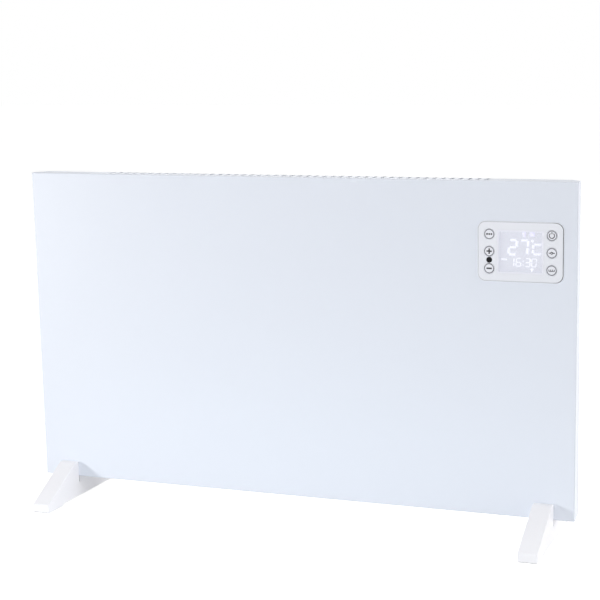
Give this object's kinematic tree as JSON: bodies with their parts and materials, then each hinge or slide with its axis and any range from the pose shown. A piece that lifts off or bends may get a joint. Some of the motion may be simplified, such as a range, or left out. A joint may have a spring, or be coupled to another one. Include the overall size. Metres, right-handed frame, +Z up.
{
  "type": "panel convector heater",
  "caption": "Slim white panel convector heater on feet, with a control plate and display in its flat front.",
  "frame": {"origin": "on the floor, in the middle of the rectangle that the heater covers", "axes": "+X along the panel to the right seen from the front, +Y from the front face to the back, +Z up"},
  "size_m": [0.8, 0.232, 0.4825],
  "materials": {
    "panel_paint": "cool white powder coat, satin",
    "casing_paint": "cool white powder coat, matt",
    "foot_plastic": "white moulded plastic, fine satin grain",
    "pad_rubber": "soft grey rubber",
    "screw_steel": "zinc plated",
    "plain_steel": "galvanised sheet",
    "plate_plastic": "pale grey film, semi-gloss",
    "key_plastic": "white caps with printed grey symbols",
    "window_pane": "clear tinted pane",
    "display_glow": "lit lavender display",
    "receiver_black": "black lens",
    "board_green": "green board",
    "housing_plastic": "plain moulded plastic",
    "element_aluminium": "extruded",
    "rod_steel": "stainless sheath",
    "bush_ceramic": "unglazed",
    "shield_aluminium": "bright sheet",
    "part_black": "black moulded plastic",
    "transformer_yellow": "taped winding",
    "block_plastic": "natural nylon",
    "earth_brass": "plain",
    "switch_plastic": "black",
    "lead_rubber": "silicone insulation"
  },
  "bodies": {
    "heater": {"front_panel": "panel_paint", "casing_back": "casing_paint", "casing_upper": "casing_paint", "casing_lower": "casing_paint", "casing_left": "casing_paint", "casing_right": "casing_paint", "foot_left": "foot_plastic", "foot_right": "foot_plastic", "foot_pads_left": "pad_rubber", "foot_pads_right": "pad_rubber", "casing_screws": "screw_steel", "foot_screws": "screw_steel", "control_screws": "screw_steel", "wall_nuts": "screw_steel", "board_spacers": "screw_steel", "tilt_switch_pin": "screw_steel", "foot_bracket_left": "plain_steel", "foot_bracket_right": "plain_steel", "end_plate_left": "plain_steel", "end_plate_right": "plain_steel", "control_plate": "plate_plastic", "display_window": "window_pane", "display_module": "display_glow", "receiver_window": "receiver_black", "control_board": "board_green", "power_board": "board_green", "control_housing": "housing_plastic", "tilt_switch_housing": "housing_plastic", "tilt_switch_cover": "housing_plastic", "element_profile": "element_aluminium", "element_rod": "rod_steel", "element_bush_left": "bush_ceramic", "element_bush_right": "bush_ceramic", "heat_shield": "shield_aluminium", "thermal_cutout": "part_black", "room_sensor": "part_black", "relay": "part_black", "cable_gland": "part_black", "gland_nut": "part_black", "transformer": "transformer_yellow", "terminal_block": "block_plastic", "earth_stud": "earth_brass", "switch_housing": "switch_plastic", "element_lead_left": "lead_rubber", "element_lead_right": "lead_rubber", "switch_leads": "lead_rubber", "display_lead": "lead_rubber"},
    "mode_key": {"key_mode": "key_plastic"},
    "plus_key": {"key_plus": "key_plastic"},
    "minus_key": {"key_minus": "key_plastic"},
    "power_key": {"key_power": "key_plastic"},
    "set_key": {"key_set": "key_plastic"},
    "clock_key": {"key_clock": "key_plastic"},
    "rocker": {"switch_rocker": "switch_plastic"},
    "tilt_weight": {"tilt_switch_weight": "plain_steel"}
  },
  "joints": [
    {"name": "mode_key_press", "type": "slide", "parent": "heater", "child": "mode_key", "axis": [0, 1, 0], "range_m": [0, 0.0008], "stiffness_N_per_m": 800, "springref_m": -0.0005},
    {"name": "plus_key_press", "type": "slide", "parent": "heater", "child": "plus_key", "axis": [0, 1, 0], "range_m": [0, 0.0008], "stiffness_N_per_m": 800, "springref_m": -0.0005},
    {"name": "minus_key_press", "type": "slide", "parent": "heater", "child": "minus_key", "axis": [0, 1, 0], "range_m": [0, 0.0008], "stiffness_N_per_m": 800, "springref_m": -0.0005},
    {"name": "power_key_press", "type": "slide", "parent": "heater", "child": "power_key", "axis": [0, 1, 0], "range_m": [0, 0.0008], "stiffness_N_per_m": 800, "springref_m": -0.0005},
    {"name": "set_key_press", "type": "slide", "parent": "heater", "child": "set_key", "axis": [0, 1, 0], "range_m": [0, 0.0008], "stiffness_N_per_m": 800, "springref_m": -0.0005},
    {"name": "clock_key_press", "type": "slide", "parent": "heater", "child": "clock_key", "axis": [0, 1, 0], "range_m": [0, 0.0008], "stiffness_N_per_m": 800, "springref_m": -0.0005},
    {"name": "rocker_tilt", "type": "hinge", "parent": "heater", "child": "rocker", "pos_m": [0.325, 0.051, 0.16544], "axis": [1, 0, 0], "range_deg": [-20, 0]},
    {"name": "tilt_weight_swing", "type": "hinge", "parent": "heater", "child": "tilt_weight", "pos_m": [-0.297, 0.019, 0.2311], "axis": [1, 0, 0], "range_deg": [-20, 20]}
  ]
}
